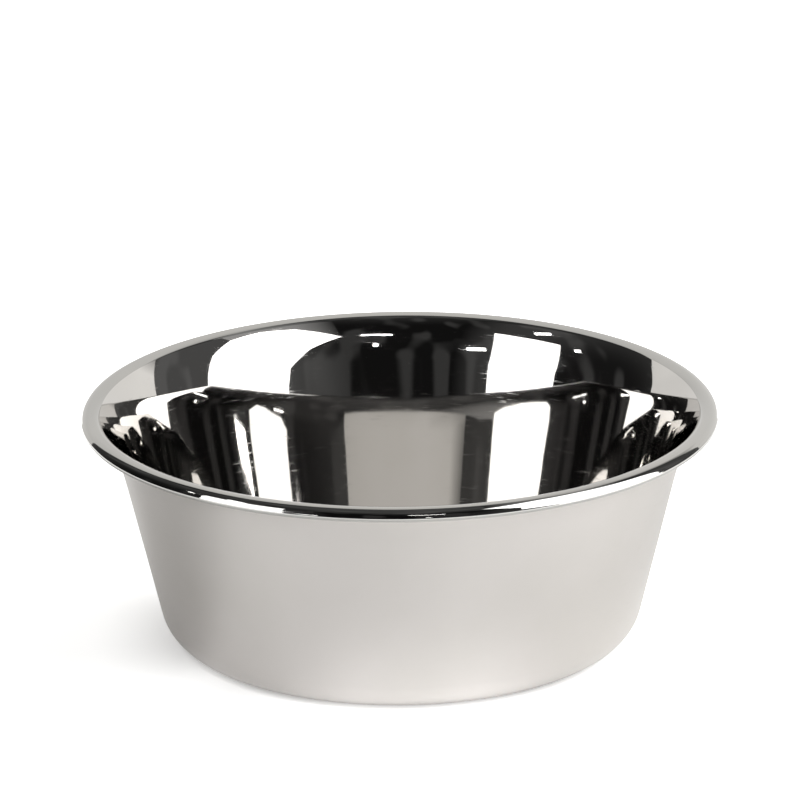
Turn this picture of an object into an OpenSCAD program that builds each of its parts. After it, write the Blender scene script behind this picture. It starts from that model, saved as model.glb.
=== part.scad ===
// Stainless steel dog bowl, pressed from one disc of sheet and curled over at the rim.
// Millimetres, +Z up. The origin is on the bowl's axis, in the plane that it stands on.
// The sheet keeps one thickness all the way, so the bowl is drawn along the middle of
// the sheet: straight runs and round bends that leave each other without a corner.

/* [Bowl] */
// Diameter over the curled rim
rim_d = 245; // [180:1:300]
// Height from the ground to the crest of the rim
bowl_h = 92; // [70:0.5:110]
// Thickness of the steel sheet
sheet_t = 0.7; // [0.5:0.1:0.9]

/* [Side wall] */
// Lean of the side wall from upright, in degrees
wall_lean = 13.3; // [8:0.1:18]
// Radius of the bottom corner, outside
corner_r = 15; // [8:0.5:20]
// Radius of the long bell that the wall's upper part makes, at the middle of the sheet
bell_r = 400; // [300:10:500]
// Turn of the bell, in degrees
bell_turn = 2; // [0.5:0.1:3]
// Radius of the throat, where the wall opens out under the rim, at the middle of the sheet
throat_r = 48; // [30:1:70]
// Turn of the throat, in degrees
throat_turn = 20.5; // [14:0.5:26]

/* [Rim] */
// Radius of the crown over the rim, on top
crown_r = 4; // [3.5:0.1:6]
// Fall of the flange towards the bead, in degrees
flange_fall = 62; // [50:1:70]
// Width of the flat flange between the crown and the bead
flange_w = 0.7; // [0.4:0.1:1.5]
// Diameter of the curled bead, outside
bead_d = 2.9; // [2.6:0.1:3.4]
// Turn of the sheet round the bead, in degrees
curl_turn = 235; // [210:5:245]

/* [Base] */
// Height of the base panel over the ground
panel_rise = 1.5; // [1:0.1:2.5]
// Width of the flat ring that the bowl stands on
foot_w = 5; // [3:0.5:8]
// Slope of the step from the foot ring up to the panel, in degrees
step_slope = 35; // [30:1:45]
// Radius of the step's two bends, at the middle of the sheet
step_r = 2.5; // [1.5:0.1:2.5]

/* [Hidden] */
steel = "silver";
// Largest turn between two points of a bend, in degrees, and the fewest steps in a bend
bend_pitch = 4;
fewest_steps = 4;
$fn = 180;

half_t = sheet_t / 2;
rim_r = rim_d / 2;

// The sheet's direction at a heading, the direction square to it, and the way from the start
// of a bend to its end. A turn to the left is positive.
function along(heading) = [cos(heading), sin(heading)];
function square_to(heading) = [-sin(heading), cos(heading)];
function span(heading, r, turn) =
    (square_to(heading) - square_to(heading + turn)) * r * sign(turn);

// Headings up the wall, at the start of the throat and at the start of the crown
wall_heading = 90 - wall_lean;
throat_heading = wall_heading - bell_turn;
crown_heading = throat_heading - throat_turn;

// Rim, from the crest outwards to the bead. The bead's outside is the edge of the rim.
crown_mid_r = crown_r - half_t;
bead_mid_r = bead_d / 2 - half_t;
crown_reach = (crown_mid_r - bead_mid_r) * sin(flange_fall);
flange_reach = flange_w * cos(flange_fall);
crest = [rim_r - bead_d / 2 - crown_reach - flange_reach, bowl_h - half_t];
crown_end = crest + span(0, crown_mid_r, -flange_fall);
curl_start = crown_end + along(-flange_fall) * flange_w;

// Rim and wall, from the crest inwards and down: crown, throat and bell
crown_start = crest - span(crown_heading, crown_mid_r, -crown_heading);
throat_start = crown_start - span(throat_heading, throat_r, -throat_turn);
bell_start = throat_start - span(wall_heading, bell_r, -bell_turn);

// Bottom corner, about the point where the lines of the wall and the ground ring would meet
corner_mid_r = corner_r - half_t;
corner_run = corner_mid_r * tan(wall_heading / 2);
base_corner = [bell_start[0] - (bell_start[1] - half_t) * tan(wall_lean), half_t];
corner_start = base_corner - [corner_run, 0];

// Step between the foot ring and the raised panel
step_rise_at_bends = 2 * step_r * (1 - cos(step_slope));
step_run = (panel_rise - step_rise_at_bends) / sin(step_slope);
panel_z = panel_rise + half_t;
foot_start = corner_start - [foot_w, 0];
panel_r = foot_start[0] - 2 * step_r * sin(step_slope) - step_run * cos(step_slope);

// A point on the middle of the sheet, with the direction that the sheet takes there
function station(point, heading) = [point, heading];

// Stations round a bend that leaves a point at a heading
function bend(point, heading, r, turn) =
    let (steps = max(fewest_steps, ceil(abs(turn) / bend_pitch)))
    [for (i = [0 : steps])
        let (part = turn * i / steps)
        station(point + span(heading, r, part), heading + part)];

// Stations of the region that each node holds, from the axis outwards
panel_path = [station([0, panel_z], 0)];
step_path = concat(
    bend([panel_r, panel_z], 0, step_r, -step_slope),
    bend(foot_start - span(-step_slope, step_r, step_slope), -step_slope, step_r, step_slope));
foot_path = [station(corner_start, 0)];
corner_path = bend(corner_start, 0, corner_mid_r, wall_heading);
bell_path = bend(bell_start, wall_heading, bell_r, -bell_turn);
throat_path = bend(throat_start, throat_heading, throat_r, -throat_turn);
crown_path = bend(crown_start, crown_heading, crown_mid_r, -crown_heading - flange_fall);
flange_path = [station(curl_start, -flange_fall)];
curl_path = bend(curl_start, -flange_fall, bead_mid_r, -curl_turn);

// The sheet along a path, turned about the bowl's axis
module pressed(path) {
    last = len(path) - 1;
    top_side = [for (s = path) s[0] + square_to(s[1]) * half_t];
    under_side = [for (i = [last : -1 : 0]) path[i][0] - square_to(path[i][1]) * half_t];
    color(steel)
        rotate_extrude()
            polygon(concat(top_side, under_side));
}

// Raised panel, the step round it and the flat ring that the bowl stands on
module base() {
    pressed(concat(panel_path, step_path, foot_path));
}

// Round bottom corner and the leaning wall, which opens out in the bell and the throat
module side_wall() {
    pressed(concat(corner_path, bell_path, throat_path));
}

// Crown over the top of the rim and the flange that falls to the bead
module rim_flange() {
    pressed(concat(crown_path, flange_path));
}

// Edge of the sheet, curled under into a hollow bead
module rolled_bead() {
    pressed(curl_path);
}

base();
side_wall();
rim_flange();
rolled_bead();
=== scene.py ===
"""A polished steel bowl round its packed frame, and the small studio that it stands in.

Lengths are in metres, in the frame of the CAD solids: Z is the bowl's axis and the ground is Z = 0.
"""

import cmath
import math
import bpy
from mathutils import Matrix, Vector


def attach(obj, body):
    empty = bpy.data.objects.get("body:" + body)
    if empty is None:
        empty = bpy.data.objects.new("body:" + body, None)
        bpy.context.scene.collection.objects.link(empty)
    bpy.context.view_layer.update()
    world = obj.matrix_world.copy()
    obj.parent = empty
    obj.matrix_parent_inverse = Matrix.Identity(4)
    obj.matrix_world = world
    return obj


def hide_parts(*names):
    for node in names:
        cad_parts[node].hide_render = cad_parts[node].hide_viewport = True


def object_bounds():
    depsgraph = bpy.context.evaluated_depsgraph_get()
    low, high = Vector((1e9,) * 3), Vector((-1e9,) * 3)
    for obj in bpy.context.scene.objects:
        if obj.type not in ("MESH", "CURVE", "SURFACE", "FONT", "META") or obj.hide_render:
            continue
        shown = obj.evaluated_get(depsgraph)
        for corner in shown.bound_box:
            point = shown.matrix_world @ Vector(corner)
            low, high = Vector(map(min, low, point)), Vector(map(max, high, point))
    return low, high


bl_info = {
    "name": "Polished steel bowl",
    "version": (1, 0, 0),
    "blender": (4, 5, 0),
    "location": "3D View > Sidebar > Bowl",
    "description": "Builds the four regions of a pressed steel bowl, with its finishes and a studio",
    "category": "Add Mesh",
}

import bpy
import numpy as np
from bpy.props import FloatProperty, FloatVectorProperty, IntProperty, PointerProperty
from mathutils import Matrix, Vector

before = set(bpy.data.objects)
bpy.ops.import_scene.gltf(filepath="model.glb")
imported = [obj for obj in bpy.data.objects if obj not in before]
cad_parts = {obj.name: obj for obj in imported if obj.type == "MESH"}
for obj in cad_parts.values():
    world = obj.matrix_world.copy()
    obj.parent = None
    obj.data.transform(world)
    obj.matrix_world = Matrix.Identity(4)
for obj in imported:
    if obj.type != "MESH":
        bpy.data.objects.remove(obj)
CAD_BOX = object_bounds()
RIM_WIDTH = round(2 * CAD_BOX[1].x, 4)
BOWL_HEIGHT = round(CAD_BOX[1].z, 4)

MM = 1e-3
MICRON = 1e-6

# Longest faces along the flat panel and the straight wall, and the fewest steps in a bend
PANEL_PITCH = 5 * MM
WALL_PITCH = 4 * MM
FEWEST_STEPS = 4

# Texture layout: radius of the base's two discs, and the free margins beside and between strips
DISC_RADIUS = 1 / 4.2
STRIP_MARGIN = 0.02
STRIP_GAP = 0.04

# A point of the sheet this close to the axis lies on it. Patterns that run round the axis are held
# still inside the wider distance.
ON_AXIS = 1e-9
NEAR_AXIS = 0.1 * MM


# Properties


def length(name, text, default, low, high):
    """A length in metres, shown in the scene's own unit."""
    return FloatProperty(
        name=name, description=text, default=default, min=low, max=high,
        precision=4, unit="LENGTH", subtype="DISTANCE",
    )


def angle(name, text, degrees, low, high):
    """An angle, given here in degrees and held in radians."""
    return FloatProperty(
        name=name, description=text, default=math.radians(degrees),
        min=math.radians(low), max=math.radians(high), unit="ROTATION", subtype="ANGLE",
    )


def colour(name, text, default):
    """A linear colour."""
    return FloatVectorProperty(
        name=name, description=text, default=default, min=0, max=1, size=3, subtype="COLOR"
    )


def amount(name, text, default, low, high):
    """A plain number."""
    return FloatProperty(name=name, description=text, default=default, min=low, max=high)


class SheetForm(bpy.types.PropertyGroup):
    """Sizes of the pressed sheet, from the rim inwards and down to the foot."""

    rim_width: length("Rim width", "Across the outside of the rolled bead", RIM_WIDTH, 0.15, 0.4)
    height: length("Height", "From the ground to the crest of the rim", BOWL_HEIGHT, 0.04, 0.2)
    sheet: length("Sheet", "Thickness of the steel", 0.0007, 0.0004, 0.0015)
    crown_radius: length("Crown radius", "Radius over the top of the rim", 0.004, 0.003, 0.02)
    flange_fall: angle("Flange fall", "Slope of the flange that falls to the bead", 62, 10, 80)
    flange_width: length("Flange width", "Flat width between the crown and the bead", 0.0007, 0.0001, 0.005)
    bead_width: length("Bead width", "Across the rolled bead", 0.0029, 0.002, 0.008)
    curl_turn: angle("Curl", "How far the bead is curled under", 235, 180, 330)
    throat_radius: length("Throat radius", "Radius of the wall's throat", 0.048, 0.01, 0.2)
    throat_turn: angle("Throat turn", "How far the throat opens the wall", 20.5, 2, 40)
    bell_radius: length("Bell radius", "Radius of the long bell under the throat", 0.4, 0.1, 1)
    bell_turn: angle("Bell turn", "How far the bell opens the wall", 2, 0.2, 8)
    wall_lean: angle("Wall lean", "How far the wall leans outwards", 13.3, 0, 30)
    corner_radius: length("Corner radius", "Outside radius between foot and wall", 0.015, 0.004, 0.03)
    foot_width: length("Foot width", "Width of the flat ring on the ground", 0.005, 0.002, 0.02)
    panel_rise: length("Panel rise", "How far the middle of the base is raised", 0.0015, 0.0005, 0.005)
    step_slope: angle("Step slope", "Slope between the foot and the panel", 35, 10, 60)
    step_radius: length("Step radius", "Radius of the two bends of the step", 0.0025, 0.0005, 0.005)
    round_steps: IntProperty(
        name="Round steps", description="Faces round the bowl, in 24s", default=384, min=48, max=768, step=24
    )
    bend_pitch: angle("Bend pitch", "Turn from one face to the next in a bend", 3, 0.5, 15)


class SteelFinish(bpy.types.PropertyGroup):
    """Colours and gloss of the polished and the satin steel."""

    polished: colour("Polished steel", "Inside of the bowl", (0.64, 0.626, 0.608))
    # A darker copy of the polished steel: painted shade on the rim and the bead.
    rim: colour("Shaded rim steel", "Top of the rim and the bead", (0.45, 0.446, 0.432))
    satin: colour("Satin steel", "Outside and underside", (0.65, 0.624, 0.605))
    stain: colour("Stain", "Faint tint left by washing and handling", (0.56, 0.545, 0.51))
    polished_roughness: amount("Polish", "Roughness of the polished steel", 0.03, 0, 1)
    satin_roughness: amount("Satin", "Roughness of the satin steel", 0.3, 0, 1)


class StudioSet(bpy.types.PropertyGroup):
    """The camera and the lights of the studio."""

    camera_distance: length("Camera distance", "From the camera to the middle of the rim", 1.96, 0.5, 10)
    camera_height: angle("Camera angle", "How far the camera looks down", 18.5, -10, 90)
    camera_roll: angle("Camera roll", "Tilt that lifts the right side of the picture", 0.54, -10, 10)
    lens: FloatProperty(
        name="Lens", description="Focal length", default=229.2, min=20, max=400, unit="CAMERA"
    )
    key_light: amount("Key light", "Brightness of the large light on the right", 3.6, 0, 100)
    fill_light: amount("Fill light", "Brightness of the light on the left", 3.1, 0, 100)
    backdrop_light: amount("Backdrop", "Brightness of the paper behind the bowl", 1.05, 0, 10)
    lamp_light: amount("Room lamps", "Brightness of the small lamps in the room", 12, 0, 100)
    overhead_power: amount("Overhead", "Watts of the soft light that only the floor shows", 6, 0, 200)
    paper: colour("Paper", "Colour of the floor", (0.8, 0.8, 0.79))
    # The next five paint light and shade on the floor: a painted glow round the bowl that differs by side, a
    # painted pool of light at the foot, an even glow farther out, a painted shadow beside the foot, and a
    # lift that only the camera sees.
    painted_floor_glow: amount("Floor glow", "Light that comes up through the floor round the bowl", 0.22, 0, 2)
    painted_foot_glow: amount("Foot glow", "Light that reaches the floor close to the bowl's foot", 0.45, 0, 2)
    glow_edge: amount("Outer glow", "Light that comes up through the floor farther out", 1.05, 0, 2)
    painted_foot_shade: amount("Foot shade", "Shade beside the foot, on the side away from the key light", 0.3, 0, 2)
    floor_lift: amount("Floor lift", "Extra brightness of the floor as the camera sees it", 0.55, 0, 2)


# The sheet's path. A point is complex: its distance from the axis, and its height as the
# imaginary part. A station is a point on the middle of the sheet and the sheet's heading there.


def along(heading):
    """One unit along a heading. Times the imaginary unit, it is square to the left of it."""
    return cmath.exp(1j * heading)


def span(heading, radius, turn):
    """The way from the start of a bend to its end. A turn to the left is positive."""
    return 1j * (along(heading) - along(heading + turn)) * math.copysign(radius, turn)


def bend(point, heading, radius, turn, pitch):
    """Stations round a bend that leaves point at heading."""
    steps = max(FEWEST_STEPS, math.ceil(abs(turn) / pitch))
    turned = [turn * i / steps for i in range(steps + 1)]
    return [(point + span(heading, radius, t), heading + t) for t in turned]


def straight(start, end, heading, pitch):
    """Stations between start and end, without the two ends."""
    steps = max(1, round(abs(end - start) / pitch))
    return [(start + (end - start) * i / steps, heading) for i in range(1, steps)]


def sheet_regions(form):
    """Stations of each region of the sheet, from the axis outwards."""
    half = form.sheet / 2
    rim = form.rim_width / 2
    pitch = form.bend_pitch
    wall = math.pi / 2 - form.wall_lean
    throat = wall - form.bell_turn
    rise = throat - form.throat_turn

    bead_radius = form.bead_width / 2 - half
    crown_radius = form.crown_radius - half
    crown_reach = (crown_radius - bead_radius) * math.sin(form.flange_fall)
    flange_reach = form.flange_width * math.cos(form.flange_fall)
    crest = complex(rim - form.bead_width / 2 - crown_reach - flange_reach, form.height - half)
    crown_end = crest + span(0, crown_radius, -form.flange_fall)
    curl_start = crown_end + along(-form.flange_fall) * form.flange_width

    crown_start = crest - span(rise, crown_radius, -rise)
    throat_start = crown_start - span(throat, form.throat_radius, -form.throat_turn)
    bell_start = throat_start - span(wall, form.bell_radius, -form.bell_turn)

    corner_radius = form.corner_radius - half
    wall_foot = bell_start.real - (bell_start.imag - half) * math.tan(form.wall_lean)
    corner_start = complex(wall_foot - corner_radius * math.tan(wall / 2), half)
    corner_end = corner_start + span(0, corner_radius, wall)

    slope = form.step_slope
    bends_rise = 2 * form.step_radius * (1 - math.cos(slope))
    step_run = (form.panel_rise - bends_rise) / math.sin(slope)
    foot_start = corner_start - form.foot_width
    step_width = 2 * form.step_radius * math.sin(slope) + step_run * math.cos(slope)
    panel_edge = complex(foot_start.real - step_width, form.panel_rise + half)
    step_end = foot_start - span(-slope, form.step_radius, slope)
    middle = complex(0, panel_edge.imag)

    return {
        "base": [(middle, 0)]
        + straight(middle, panel_edge, 0, PANEL_PITCH)
        + bend(panel_edge, 0, form.step_radius, -slope, pitch)
        + bend(step_end, -slope, form.step_radius, slope, pitch)
        + [(corner_start, 0)],
        "side_wall": bend(corner_start, 0, corner_radius, wall, pitch)
        + straight(corner_end, bell_start, wall, WALL_PITCH)
        + bend(bell_start, wall, form.bell_radius, -form.bell_turn, pitch)
        + bend(throat_start, throat, form.throat_radius, -form.throat_turn, pitch / 2)[1:],
        "rim_flange": bend(crown_start, rise, crown_radius, -rise - form.flange_fall, pitch)
        + [(curl_start, -form.flange_fall)],
        "rolled_bead": bend(curl_start, -form.flange_fall, bead_radius, -form.curl_turn, 2 * pitch),
    }


# Meshes


def outline(stations, half):
    """The closed outline of the sheet: its points, and for each run between two points the
    normals at both ends and which finish it has (0 on the sheet's upper side, 1 elsewhere)."""
    upper = [(p + 1j * along(h) * half, 1j * along(h)) for p, h in stations]
    under = [(p - 1j * along(h) * half, -1j * along(h)) for p, h in reversed(stations)]
    points = [p for p, _ in upper + under]
    outer_end = along(stations[-1][1])
    inner_end = -along(stations[0][1])
    runs = [(a[1], b[1], 0) for a, b in zip(upper, upper[1:])]
    runs.append((outer_end, outer_end, 1))
    runs += [(a[1], b[1], 1) for a, b in zip(under, under[1:])]
    runs.append((inner_end, inner_end, 1))
    return points, runs


def inset(share, margin):
    """A share of the way across, kept a margin off both ends."""
    return margin + (1 - 2 * margin) * share


def bake_layout(points, steps, flat):
    """A function for the texture place of a face's corner: on two discs for the base, else on strips
    that are each a part of the way round and the whole outline high."""
    ends = points[1:] + points[:1]
    reached = np.concatenate([[0], np.cumsum([abs(b - a) for a, b in zip(points, ends)])])
    widest = max(p.real for p in points)
    around = math.tau * np.mean([p.real for p in points])
    strips = max(2, 2 * round(math.sqrt(around / reached[-1]) / 2))
    per_strip = steps // strips

    def on_disc(run, point, step, face_step, finish):
        turn = math.tau * step / steps
        reach = DISC_RADIUS * points[point].real / widest
        return 0.25 + 0.5 * finish + reach * math.cos(turn), 0.5 + reach * math.sin(turn)

    def on_strip(run, point, step, face_step, finish):
        strip = min(face_step // per_strip, strips - 1)
        share_round = (step - strip * per_strip) / per_strip
        share_high = reached[run + (point != run)] / reached[-1]
        return inset(share_round, STRIP_MARGIN), (strip + inset(share_high, STRIP_GAP)) / strips

    return on_disc if flat else on_strip


def turned_solid(name, stations, form):
    """A closed mesh of the sheet along its stations, turned about the axis, with exact normals."""
    steps = form.round_steps
    points, runs = outline(stations, form.sheet / 2)
    turns = [math.tau * s / steps for s in range(steps)]
    ring = [(math.cos(t), math.sin(t)) for t in turns]
    ring.append(ring[0])
    on_axis = [p.real < ON_AXIS for p in points]
    vertices, first = [], []
    for p, single in zip(points, on_axis):
        first.append(len(vertices))
        places = ring[:1] if single else ring[:-1]
        vertices += [(p.real * c, p.real * s, p.imag) for c, s in places]

    def vertex(j, s):
        return first[j] + (0 if on_axis[j] else s % steps)

    place = bake_layout(points, steps, on_axis[0])
    faces, finishes, normals, texture = [], [], [], []
    for k, (start, end, finish) in enumerate(runs):
        after = (k + 1) % len(points)
        if on_axis[k] and on_axis[after]:
            continue
        for s in range(steps):
            corners = [(k, s, start), (after, s, end), (after, s + 1, end), (k, s + 1, start)]
            if on_axis[after]:
                del corners[2]
            if on_axis[k]:
                del corners[3]
            faces.append([vertex(j, t) for j, t, _ in corners])
            finishes.append(finish)
            for j, t, n in corners:
                c, d = ring[t]
                normals.append((n.real * c, n.real * d, n.imag))
                texture.append(place(k, j, t, s, finish))
    mesh = bpy.data.meshes.new(name)
    mesh.from_pydata(vertices, [], faces)
    mesh.polygons.foreach_set("material_index", finishes)
    mesh.polygons.foreach_set("use_smooth", [True] * len(faces))
    layer = mesh.uv_layers.new(name="OFBake")
    layer.data.foreach_set("uv", np.array(texture, dtype=np.float32).ravel())
    mesh.normals_split_custom_set(normals)
    mesh.update()
    return mesh


# Materials

# Repeats of the press's flutes, of the polishing lines and of the scratches, across the sheet's path
# (per metre) and round the bowl
FLUTES_ACROSS = 6.0
FLUTES_AROUND = 9.0
LINES_AROUND = 5.0
HAIRS_ACROSS = 1400.0
HAIRS_AROUND = 14.0

# Values of the noise between which smudges, scratches and stains fade in
SMUDGE_RANGE = (0.0, 0.25)
HAIR_RANGE = (0.14, 0.22)
STAIN_RANGE = (-0.15, 0.25)

POLISHED_RELIEF = {
    "Wave Height": 20 * MICRON,
    "Waves per Metre": 45.0,
    "Line Depth": 0.4 * MICRON,
    "Lines per Metre": 1500.0,
}
POLISHED_WEAR = {"Smudge": 0.02, "Scratch": 0.07}
POLISHED_STAIN = 0.25
SATIN_RELIEF = {
    "Wave Height": 15 * MICRON,
    "Waves per Metre": 25.0,
    "Line Depth": 2 * MICRON,
    "Lines per Metre": 2500.0,
}
SATIN_WEAR = {"Smudge": 0.04, "Scratch": 0.06}
SATIN_STAIN = 0.3
SATIN_BRUSHING = 0.3


def node(tree, kind, settings=None, **links):
    """A node with its settings, and its inputs set from values or linked from sockets. An input
    is named by its label with _ for a space, or by _0, _1 and so on for its number."""
    made = tree.nodes.new(kind)
    for key, value in (settings or {}).items():
        setattr(made, key, value)
    for key, value in links.items():
        label = int(key[1:]) if key[0] == "_" else key.replace("_", " ")
        socket = made.inputs[label]
        if isinstance(value, bpy.types.NodeSocket):
            tree.links.new(value, socket)
        else:
            socket.default_value = value
    return made


def sums(tree, operation, *values):
    """A Math node's result."""
    inputs = {f"_{i}": v for i, v in enumerate(values)}
    return node(tree, "ShaderNodeMath", {"operation": operation}, **inputs).outputs[0]


def fitted(tree, value, low, high, to_low, to_high):
    """A value moved from one range to another and kept within it."""
    made = node(
        tree, "ShaderNodeMapRange", {"interpolation_type": "SMOOTHSTEP"},
        Value=value, From_Min=low, From_Max=high, To_Min=to_low, To_Max=to_high,
    )
    return made.outputs["Result"]


def group(name, inputs, outputs):
    """An empty node group with the named sockets. Each input is a socket kind and its default."""
    tree = bpy.data.node_groups.new(name, "ShaderNodeTree")
    for label, (kind, default) in inputs.items():
        tree.interface.new_socket(label, in_out="INPUT", socket_type=kind).default_value = default
    for label, kind in outputs.items():
        tree.interface.new_socket(label, in_out="OUTPUT", socket_type=kind)
    return tree, tree.nodes.new("NodeGroupInput").outputs, tree.nodes.new("NodeGroupOutput").inputs


def round_the_axis(tree, across, around):
    """Coordinates that run quickly across the sheet's path and slowly round the bowl."""
    place = node(tree, "ShaderNodeTexCoord").outputs["Object"]
    x, y, z = node(tree, "ShaderNodeSeparateXYZ", _0=place).outputs
    squares = sums(tree, "ADD", sums(tree, "MULTIPLY", x, x), sums(tree, "MULTIPLY", y, y))
    radius = sums(tree, "MAXIMUM", sums(tree, "SQRT", squares), NEAR_AXIS)
    path = sums(tree, "MULTIPLY", sums(tree, "ADD", radius, z), across)
    made = node(
        tree, "ShaderNodeCombineXYZ",
        X=sums(tree, "MULTIPLY", sums(tree, "DIVIDE", x, radius), around),
        Y=sums(tree, "MULTIPLY", sums(tree, "DIVIDE", y, radius), around),
        Z=path,
    )
    return made.outputs[0]


def noise(tree, vector, scale=1.0, detail=0.0, roughness=0.5):
    """Noise about zero, from -0.5 to 0.5."""
    made = node(
        tree, "ShaderNodeTexNoise", Vector=vector, Scale=scale, Detail=detail, Roughness=roughness
    )
    return sums(tree, "SUBTRACT", made.outputs["Fac"], 0.5)


def sheet_relief():
    """Height of the sheet's slow waves from the press, and of the lines left by polishing."""
    name = "Sheet relief"
    if name in bpy.data.node_groups:
        return bpy.data.node_groups[name]
    number = "NodeSocketFloat"
    tree, given, out = group(
        name,
        {
            "Wave Height": (number, 12 * MICRON),
            "Waves per Metre": (number, 45.0),
            "Line Depth": (number, 0.3 * MICRON),
            "Lines per Metre": (number, 1500.0),
        },
        {"Height": number},
    )
    place = node(tree, "ShaderNodeTexCoord").outputs["Object"]
    waves = noise(tree, place, given["Waves per Metre"], detail=2.0)
    flutes = noise(tree, round_the_axis(tree, FLUTES_ACROSS, FLUTES_AROUND), detail=1.0)
    slow = sums(tree, "MULTIPLY", sums(tree, "ADD", waves, flutes), given["Wave Height"])
    path = round_the_axis(tree, given["Lines per Metre"], LINES_AROUND)
    lines = noise(tree, path, detail=3.0, roughness=0.7)
    fine = sums(tree, "MULTIPLY", lines, given["Line Depth"])
    tree.links.new(sums(tree, "ADD", slow, fine), out["Height"])
    return tree


def steel_wear():
    """Roughness with soft smudges, and with thin scratches that run mostly round the bowl."""
    name = "Steel wear"
    if name in bpy.data.node_groups:
        return bpy.data.node_groups[name]
    number = "NodeSocketFloat"
    tree, given, out = group(
        name,
        {
            "Clean Roughness": (number, 0.03),
            "Smudge": (number, 0.02),
            "Scratch": (number, 0.05),
            "Smudges per Metre": (number, 30.0),
        },
        {"Roughness": number},
    )
    place = node(tree, "ShaderNodeTexCoord").outputs["Object"]
    smudges = noise(tree, place, given["Smudges per Metre"], detail=4.0, roughness=0.6)
    cloud = fitted(tree, smudges, *SMUDGE_RANGE, 0.0, 1.0)
    hair = noise(tree, round_the_axis(tree, HAIRS_ACROSS, HAIRS_AROUND), detail=1.0)
    hair_mask = fitted(tree, hair, *HAIR_RANGE, 0.0, 1.0)
    rough = sums(tree, "MULTIPLY_ADD", cloud, given["Smudge"], given["Clean Roughness"])
    rough = sums(tree, "MULTIPLY_ADD", hair_mask, given["Scratch"], rough)
    tree.links.new(rough, out["Roughness"])
    return tree


def steel_tone():
    """Colour of the steel, with a faint uneven stain."""
    name = "Steel tone"
    if name in bpy.data.node_groups:
        return bpy.data.node_groups[name]
    tree, given, out = group(
        name,
        {
            "Steel": ("NodeSocketColor", (0.62, 0.6, 0.58, 1)),
            "Stain": ("NodeSocketColor", (0.5, 0.48, 0.45, 1)),
            "Stain Amount": ("NodeSocketFloat", 0.2),
            "Stains per Metre": ("NodeSocketFloat", 18.0),
        },
        {"Color": "NodeSocketColor"},
    )
    place = node(tree, "ShaderNodeTexCoord").outputs["Object"]
    stains = noise(tree, place, given["Stains per Metre"], detail=3.0)
    patch = fitted(tree, stains, *STAIN_RANGE, 0.0, 1.0)
    mixed = node(
        tree, "ShaderNodeMix", {"data_type": "RGBA"},
        _0=sums(tree, "MULTIPLY", patch, given["Stain Amount"]), _6=given["Steel"], _7=given["Stain"],
    )
    tree.links.new(mixed.outputs[2], out["Color"])
    return tree


def empty_material(name):
    """A material without nodes, and its tree."""
    material = bpy.data.materials.new(name)
    material.use_nodes = True
    material.node_tree.nodes.clear()
    return material, material.node_tree


def steel(name, tone, stain, roughness, relief, wear, stain_amount, brushed):
    """Steel with its relief, wear and tone. Brushed is how far the gloss spreads across the lines."""
    if name in bpy.data.materials:
        return bpy.data.materials[name]
    material, tree = empty_material(name)
    height = node(tree, "ShaderNodeGroup", {"node_tree": sheet_relief()}, **relief)
    rough = node(tree, "ShaderNodeGroup", {"node_tree": steel_wear()}, Clean_Roughness=roughness, **wear)
    tint = node(
        tree, "ShaderNodeGroup", {"node_tree": steel_tone()},
        Steel=(*tone, 1), Stain=(*stain, 1), Stain_Amount=stain_amount,
    )
    bump = node(tree, "ShaderNodeBump", Strength=1.0, Distance=1.0, Height=height.outputs[0])
    shader = node(
        tree, "ShaderNodeBsdfPrincipled",
        Base_Color=tint.outputs[0], Metallic=1.0, Roughness=rough.outputs[0],
        Anisotropic=brushed, Normal=bump.outputs[0],
    )
    if brushed:
        tangent = node(tree, "ShaderNodeTangent", {"direction_type": "RADIAL", "axis": "Z"})
        tree.links.new(tangent.outputs[0], shader.inputs["Tangent"])
    node(tree, "ShaderNodeOutputMaterial", Surface=shader.outputs[0])
    return material


def polished_steel(finish, name):
    """Mirror polish, in the tone of the inside or in the darker tone of the rim, which paints shade on the
    rim and the bead.
    """
    tone = finish.rim if name == "Shaded rim steel" else finish.polished
    roughness = finish.polished_roughness
    return steel(
        name, tone, finish.stain, roughness, POLISHED_RELIEF, POLISHED_WEAR, POLISHED_STAIN, 0.0
    )


def satin_steel(finish):
    """Fine satin, for the outside and the underside."""
    return steel(
        "Satin steel", finish.satin, finish.stain, finish.satin_roughness,
        SATIN_RELIEF, SATIN_WEAR, SATIN_STAIN, SATIN_BRUSHING,
    )


# The studio. Each light was placed by the reflection that it makes in the steel.

WHITE = (1, 1, 1)
WARM_WHITE = (1, 0.985, 0.96)

# The key light is near, on the right: a wall, and a roof that folds over from it
KEY_MIDDLE = (0.5, -0.2, 0.43)
KEY_ROOF = [(0.139, -0.231, 0.367), (0.175, -0.075, 0.373), (0.245, -0.03, 0.399), (0.4, 0.003, 0.453)]
KEY_WALL = [
    (0.46, 0.032, 0.356), (0.5, 0.03, 0.232), (0.5, 0.03, 0.06), (0.5, -0.4, 0.06),
    (0.5, -0.4, 0.17), (0.5, -0.43, 0.22), (0.45, -0.515, 0.476),
]
FILL_EDGE = [
    (-1.06, -0.4, 0.12), (-0.711, -0.897, 0.12), (-0.72, -0.885, 0.3), (-0.75, -0.842, 0.625),
    (-0.801, -0.768, 1.088), (-0.934, -0.578, 0.973), (-1.065, -0.392, 0.897),
    (-1.147, -0.274, 0.859), (-1.104, -0.336, 0.512), (-1.07, -0.383, 0.24),
]
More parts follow.
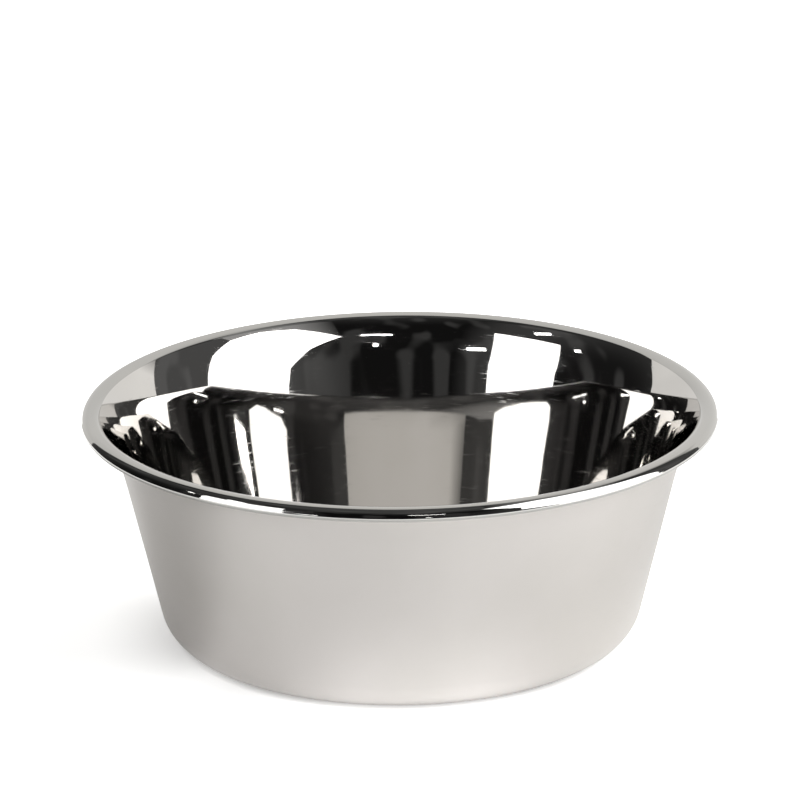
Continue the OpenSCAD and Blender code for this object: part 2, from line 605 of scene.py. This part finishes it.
# Rows of corners and the shares of the light there. The last row leans in over the bowl.
BACKDROP_ROWS = [
    [(x, 0.43, 0.02) for x in (-0.53, -0.2, 0.2, 0.45, 0.68)],
    [(x, 0.43, 0.2) for x in (-0.52, -0.2, 0.2, 0.45, 0.68)],
    [(x, 0.43, 0.33) for x in (-0.55, -0.2, 0.2, 0.45, 0.68)],
    [(x, 0.43, 0.55) for x in (-0.51, -0.2, 0.2, 0.45, 0.66)],
    [(x, 0.13, 0.62) for x in (-0.23, -0.1, 0.1, 0.2, 0.32)],
]
BACKDROP_SHARES = [
    (0.83, 0.8, 0.9, 1.0, 1.0), (0.83, 0.82, 0.92, 1.0, 1.0), (0.85, 0.93, 0.97, 1.0, 1.0),
    (0.85, 0.94, 0.97, 0.95, 0.2), (0.8, 0.88, 0.9, 0.7, 0.45),
]
# Thin cloth between the backdrop's upper edge and the key light's roof
TENT_ROWS = [[(x, 0.13, 0.62) for x in (0.1, 0.2, 0.3, 0.5)], KEY_ROOF]
TENT_SHARES = [(0.03, 0.2, 0.35, 0.4), (0.03, 0.35, 0.4, 0.4)]
# Middle, width and height of each lamp in the room
LAMPS = [
    ((-1.33, -1.99, 1.22), 0.35, 0.13),
    ((-2.25, -0.85, 2.18), 0.35, 0.11),
    ((-2.39, -0.31, 1.38), 0.13, 0.09),
    ((0.42, -2.35, 2.03), 0.6, 0.065),
    ((0.42, -2.35, 1.41), 0.08, 0.15),
]
OVERHEAD_SIZE = 2.4
OVERHEAD_HEIGHT = 1.6

FLOOR_RADIUS = 3.0
FLOOR_STEPS = 96
FLOOR_DROP = 0.1 * MM
# Distances from the axis between which the floor's painted glows and the painted shadow beside the foot fade
FOOT_GLOW_SPAN = (0.085, 0.15)
OUTER_GLOW_SPAN = (0.2, 0.5)
PAINTED_SHADE_SPAN = (0.076, 0.125)
# Bearings between which they fade, where -1 is straight to the left and 1 straight to the right
FOOT_GLOW_SIDES = (-0.75, -0.15)
PAINTED_SHADE_SIDES = (-0.7, 0.0)
FAR_LEFT_SIDES = (-1.0, -0.8)
LEFT_SIDES = (-0.7, -0.3)
RIGHT_SIDES = (0.3, 0.7)
# Shares of the painted glow near the bowl that are left at its sides, which paint light and shade by side
FAR_LEFT_GLOW = 0.12
LEFT_GLOW = 1.4
FRONT_SHARE = 0.715
RIGHT_SHARE = 0.5
# How near a surface darkens the floor with painted contact shade, and by how much at most
CONTACT_DISTANCE = 2.5 * MM
PAINTED_CONTACT_SHADE = 0.65

# Brightness of the room and of things in it, and where each fades, by the part of the looking
# direction along Z or X
ROOM_DARK = 0.008
ROOM_PALE = 0.09
CEILING_RISE = (0.72, 0.98)
RIGHT_TURN = (0.25, 0.8)
LEFT_PALE = 0.055
LEFT_TURN = (-0.6, -0.3)
FAR_LEFT_SHARE = 0.2
FAR_LEFT_TURN = (-0.95, -0.7)
THINGS_SCALE = (7, 7, 0.8)
THINGS_RANGE = (0.0, 0.16)
THINGS_PALE = 0.04
BEHIND_FLOOR = 1.05

RIM_MIDDLE = Vector((0, 0, 0.0894))
CAMERA_AIM = Vector((0.0002, 0.0013, 0.0932))
SENSOR_WIDTH = 36
CAMERA_REACH = (0.1, 30)


def placed(name, data):
    """A new object in the scene."""
    made = bpy.data.objects.new(name, data)
    bpy.context.scene.collection.objects.link(made)
    return made


def lit_material(name, tone, strength):
    """A lit surface, whose strength is scaled by the mesh's own share at each corner."""
    material, tree = empty_material(name)
    share = node(tree, "ShaderNodeAttribute", {"attribute_name": "share"}).outputs["Fac"]
    glow = node(
        tree, "ShaderNodeEmission", Color=(*tone, 1), Strength=sums(tree, "MULTIPLY", share, strength)
    )
    node(tree, "ShaderNodeOutputMaterial", Surface=glow.outputs[0])
    return material


def card(name, corners, tone, strength, faces=None, shares=None):
    """A lit card, which shows only in reflections. Shares scale its strength at each corner."""
    mesh = bpy.data.meshes.new(name)
    mesh.from_pydata(corners, [], faces or [list(range(len(corners)))])
    share = mesh.attributes.new("share", "FLOAT", "POINT")
    share.data.foreach_set("value", shares or [1.0] * len(corners))
    mesh.materials.append(lit_material(name, tone, strength))
    made = placed(name, mesh)
    made.visible_camera = False
    made.visible_shadow = False


def fan(name, middle, corners, tone, strength):
    """A card that folds about its middle, from there to each pair of corners."""
    last = len(corners)
    faces = [[0, i, i % last + 1] for i in range(1, last + 1)]
    card(name, [middle, *corners], tone, strength, faces)


def curved_card(name, rows, shares, tone, strength):
    """A card through rows of corners, with a share for each corner."""
    wide = len(rows[0])
    corners = [corner for row in rows for corner in row]
    faces = [
        [r * wide + c, r * wide + c + 1, (r + 1) * wide + c + 1, (r + 1) * wide + c]
        for r in range(len(rows) - 1) for c in range(wide - 1)
    ]
    flat = [share for row in shares for share in row]
    card(name, corners, tone, strength, faces, flat)


def lamp_corners(place, width, height):
    """Corners of a small lamp that faces the bowl."""
    middle = Vector(place)
    side = Vector((middle.y, -middle.x, 0)).normalized() * width / 2
    up = Vector((0, 0, height / 2))
    return [middle - side - up, middle + side - up, middle + side + up, middle - side + up]


def lights(studio):
    """The lights that the steel mirrors."""
    fan("studio_key_light", KEY_MIDDLE, KEY_ROOF + KEY_WALL, WHITE, studio.key_light)
    card("studio_fill_light", FILL_EDGE, WHITE, studio.fill_light)
    backdrop = studio.backdrop_light
    curved_card("studio_backdrop", BACKDROP_ROWS, BACKDROP_SHARES, WARM_WHITE, backdrop)
    curved_card("studio_tent", TENT_ROWS, TENT_SHARES, WHITE, backdrop)
    for number, (place, width, height) in enumerate(LAMPS, 1):
        corners = lamp_corners(place, width, height)
        card(f"studio_lamp_{number}", corners, WHITE, studio.lamp_light)


def overhead(studio):
    """A wide soft light over the bowl, which the steel doesn't show."""
    light = bpy.data.lights.new("studio_overhead", "AREA")
    light.shape = "SQUARE"
    light.size = OVERHEAD_SIZE
    light.energy = studio.overhead_power
    made = placed("studio_overhead", light)
    made.location.z = OVERHEAD_HEIGHT
    made.visible_camera = False
    made.visible_glossy = False


def painted_floor_glow(tree, studio):
    """Strength of the floor's painted glow, a painted pool of light round the bowl. It is weak at the far
    left, strongest away from the bowl, and the camera sees it with a lift that has the painted shadow beside
    the foot."""
    place = node(tree, "ShaderNodeTexCoord").outputs["Object"]
    away = node(tree, "ShaderNodeVectorMath", {"operation": "LENGTH"}, _0=place).outputs["Value"]
    x = node(tree, "ShaderNodeSeparateXYZ", _0=place).outputs[0]
    bearing = sums(tree, "DIVIDE", x, away)
    # Painted pool of light round the foot, and painted light and shade by side
    foot = fitted(tree, away, *FOOT_GLOW_SPAN, studio.painted_foot_glow, 0.0)
    foot = sums(tree, "MULTIPLY", foot, fitted(tree, bearing, *FOOT_GLOW_SIDES, 0.0, 1.0))
    left = fitted(tree, bearing, *FAR_LEFT_SIDES, FAR_LEFT_GLOW, LEFT_GLOW)
    left = sums(tree, "MULTIPLY", left, fitted(tree, bearing, *LEFT_SIDES, 1.0, FRONT_SHARE))
    near = sums(tree, "MULTIPLY_ADD", left, studio.painted_floor_glow, foot)
    near = sums(tree, "MULTIPLY", near, fitted(tree, bearing, *RIGHT_SIDES, 1.0, RIGHT_SHARE))
    glow = sums(tree, "ADD", near, fitted(tree, away, *OUTER_GLOW_SPAN, 0.0, studio.glow_edge))
    # Painted shadow beside the foot, on the side away from the key light, taken off the camera's lift
    shade = fitted(tree, away, *PAINTED_SHADE_SPAN, studio.painted_foot_shade, 0.0)
    shade = sums(tree, "MULTIPLY", shade, fitted(tree, bearing, *PAINTED_SHADE_SIDES, 1.0, 0.0))
    lift = sums(tree, "SUBTRACT", studio.floor_lift, shade)
    seen = node(tree, "ShaderNodeLightPath").outputs["Is Camera Ray"]
    glow = sums(tree, "MULTIPLY_ADD", seen, lift, glow)
    # Painted contact shade: the floor's glow darkens where a surface is near
    painted_contact_shade = node(tree, "ShaderNodeAmbientOcclusion", Distance=CONTACT_DISTANCE).outputs["AO"]
    painted_contact_shade = sums(tree, "MULTIPLY_ADD", painted_contact_shade, PAINTED_CONTACT_SHADE, 1 - PAINTED_CONTACT_SHADE)
    return sums(tree, "MULTIPLY", glow, painted_contact_shade)


def floor(studio):
    """A round floor of white paper, just under the foot, which also glows with painted light and shade."""
    turns = [math.tau * i / FLOOR_STEPS for i in range(FLOOR_STEPS)]
    ring = [(FLOOR_RADIUS * math.cos(t), FLOOR_RADIUS * math.sin(t), 0) for t in turns]
    mesh = bpy.data.meshes.new("studio_floor")
    mesh.from_pydata(ring, [], [list(range(FLOOR_STEPS))])
    material, tree = empty_material("White paper")
    # The floor's painted glow, with its painted shadow and contact shade
    lit = node(tree, "ShaderNodeEmission", Color=(*WHITE, 1), Strength=painted_floor_glow(tree, studio))
    base = node(tree, "ShaderNodeBsdfDiffuse", Color=(*studio.paper, 1))
    both = node(tree, "ShaderNodeAddShader", _0=base.outputs[0], _1=lit.outputs[0])
    node(tree, "ShaderNodeOutputMaterial", Surface=both.outputs[0])
    mesh.materials.append(material)
    made = placed("studio_floor", mesh)
    made.location.z = -FLOOR_DROP


def room(scene):
    """A dark room for the reflections, with a paler ceiling, paler sides and upright things, and
    plain white behind the floor."""
    world = bpy.data.worlds.new("Studio room")
    scene.world = world
    world.use_nodes = True
    tree = world.node_tree
    tree.nodes.clear()
    way = node(tree, "ShaderNodeTexCoord").outputs["Generated"]
    x, y, z = node(tree, "ShaderNodeSeparateXYZ", _0=way).outputs
    ceiling = fitted(tree, z, *CEILING_RISE, ROOM_DARK, ROOM_PALE)
    right = fitted(tree, x, *RIGHT_TURN, 0.0, ROOM_PALE)
    left = fitted(tree, x, *LEFT_TURN, LEFT_PALE, 0.0)
    left = sums(tree, "MULTIPLY", left, fitted(tree, x, *FAR_LEFT_TURN, FAR_LEFT_SHARE, 1.0))
    shade = sums(tree, "MAXIMUM", sums(tree, "MAXIMUM", ceiling, right), left)
    upright = node(tree, "ShaderNodeMapping", Vector=way, Scale=THINGS_SCALE)
    things = noise(tree, upright.outputs[0], detail=0.5)
    shade = sums(tree, "ADD", shade, fitted(tree, things, *THINGS_RANGE, 0.0, THINGS_PALE))
    tone = node(tree, "ShaderNodeCombineColor", Red=shade, Green=shade, Blue=shade)
    dark = node(tree, "ShaderNodeBackground", Color=tone.outputs[0], Strength=1.0)
    white = node(tree, "ShaderNodeBackground", Color=(*WHITE, 1), Strength=BEHIND_FLOOR)
    seen = node(tree, "ShaderNodeLightPath").outputs["Is Camera Ray"]
    mixed = node(tree, "ShaderNodeMixShader", _0=seen, _1=dark.outputs[0], _2=white.outputs[0])
    node(tree, "ShaderNodeOutputWorld", Surface=mixed.outputs[0])


def camera(studio):
    """The camera, which looks slightly above the middle of the rim."""
    made = placed("studio_camera", bpy.data.cameras.new("studio_camera"))
    made.data.sensor_width = SENSOR_WIDTH
    made.data.lens = studio.lens
    made.data.clip_start, made.data.clip_end = CAMERA_REACH
    tilt = studio.camera_height
    back = Vector((0, -math.cos(tilt), math.sin(tilt)))
    place = RIM_MIDDLE + back * studio.camera_distance
    turn = (CAMERA_AIM - place).to_track_quat("-Z", "Y").to_matrix().to_4x4()
    made.matrix_world = Matrix.Translation(place) @ turn @ Matrix.Rotation(-studio.camera_roll, 4, "Z")
    bpy.context.scene.camera = made


# Operators


class BuildsRegion:
    """What the four regions' operators share. Region is the CAD node, slot a name for its finish that is not
    used, and upper_finish the material on the upper side of the sheet."""

    bl_options = {"REGISTER", "UNDO"}
    region = ""
    slot = ""
    upper_finish = "Polished steel"

    def execute(self, context):
        form = context.scene.bowl_form
        finish = context.scene.bowl_finish
        if self.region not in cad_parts:
            raise RuntimeError(f"the frame has no node named {self.region}")
        name = "bowl_" + self.region
        mesh = turned_solid(name, sheet_regions(form)[self.region], form)
        mesh.materials.append(polished_steel(finish, self.upper_finish))
        mesh.materials.append(satin_steel(finish))
        piece = placed(name, mesh)
        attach(piece, "root")
        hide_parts(self.region)
        return {"FINISHED"}


class BOWL_OT_base(BuildsRegion, bpy.types.Operator):
    """Build the raised base panel, its step and the flat foot ring"""

    bl_idname = "bowl.base"
    bl_label = "Base"
    region = "base"
    slot = "wall_steel"


class BOWL_OT_side_wall(BuildsRegion, bpy.types.Operator):
    """Build the bottom corner and the leaning wall, with its bell and throat"""

    bl_idname = "bowl.side_wall"
    bl_label = "Side wall"
    region = "side_wall"
    slot = "wall_steel"


class BOWL_OT_rim_flange(BuildsRegion, bpy.types.Operator):
    """Build the crown over the top of the rim and the flange that falls to the bead"""

    bl_idname = "bowl.rim_flange"
    bl_label = "Rim flange"
    region = "rim_flange"
    slot = "rim_steel"
    upper_finish = "Shaded rim steel"


class BOWL_OT_rolled_bead(BuildsRegion, bpy.types.Operator):
    """Build the hollow bead that is curled under the edge of the rim"""

    bl_idname = "bowl.rolled_bead"
    bl_label = "Rolled bead"
    region = "rolled_bead"
    slot = "rim_steel"
    upper_finish = "Shaded rim steel"


class BOWL_OT_stage(bpy.types.Operator):
    """Build the floor, the lights, the room and the camera"""

    bl_idname = "bowl.stage"
    bl_label = "Studio"
    bl_options = {"REGISTER", "UNDO"}

    def execute(self, context):
        scene = context.scene
        studio = scene.bowl_studio
        floor(studio)
        overhead(studio)
        room(scene)
        lights(studio)
        camera(studio)
        scene.view_settings.view_transform = "Standard"
        scene.view_settings.look = "None"
        return {"FINISHED"}


class BOWL_PT_panel(bpy.types.Panel):
    """The bowl's sizes, finishes and operators"""

    bl_idname = "BOWL_PT_panel"
    bl_label = "Polished steel bowl"
    bl_space_type = "VIEW_3D"
    bl_region_type = "UI"
    bl_category = "Bowl"

    def draw(self, context):
        column = self.layout.column()
        for group_name, kind in PROPERTY_GROUPS.items():
            column.label(text=kind.__doc__.split(".")[0])
            for key in kind.__annotations__:
                column.prop(getattr(context.scene, group_name), key)
        for operator in OPERATORS:
            column.operator(operator.bl_idname)


PROPERTY_GROUPS = {"bowl_form": SheetForm, "bowl_finish": SteelFinish, "bowl_studio": StudioSet}
OPERATORS = (BOWL_OT_base, BOWL_OT_side_wall, BOWL_OT_rim_flange, BOWL_OT_rolled_bead, BOWL_OT_stage)


def register():
    for kind in (*PROPERTY_GROUPS.values(), *OPERATORS, BOWL_PT_panel):
        bpy.utils.register_class(kind)
    for name, kind in PROPERTY_GROUPS.items():
        setattr(bpy.types.Scene, name, PointerProperty(type=kind))


def unregister():
    for name in PROPERTY_GROUPS:
        delattr(bpy.types.Scene, name)
    for kind in reversed((*PROPERTY_GROUPS.values(), *OPERATORS, BOWL_PT_panel)):
        bpy.utils.unregister_class(kind)


def main():
    register()
    bpy.ops.bowl.base()
    bpy.ops.bowl.side_wall()
    bpy.ops.bowl.rim_flange()
    bpy.ops.bowl.rolled_bead()
    bpy.ops.bowl.stage()


if __name__ == "__main__":
    main()
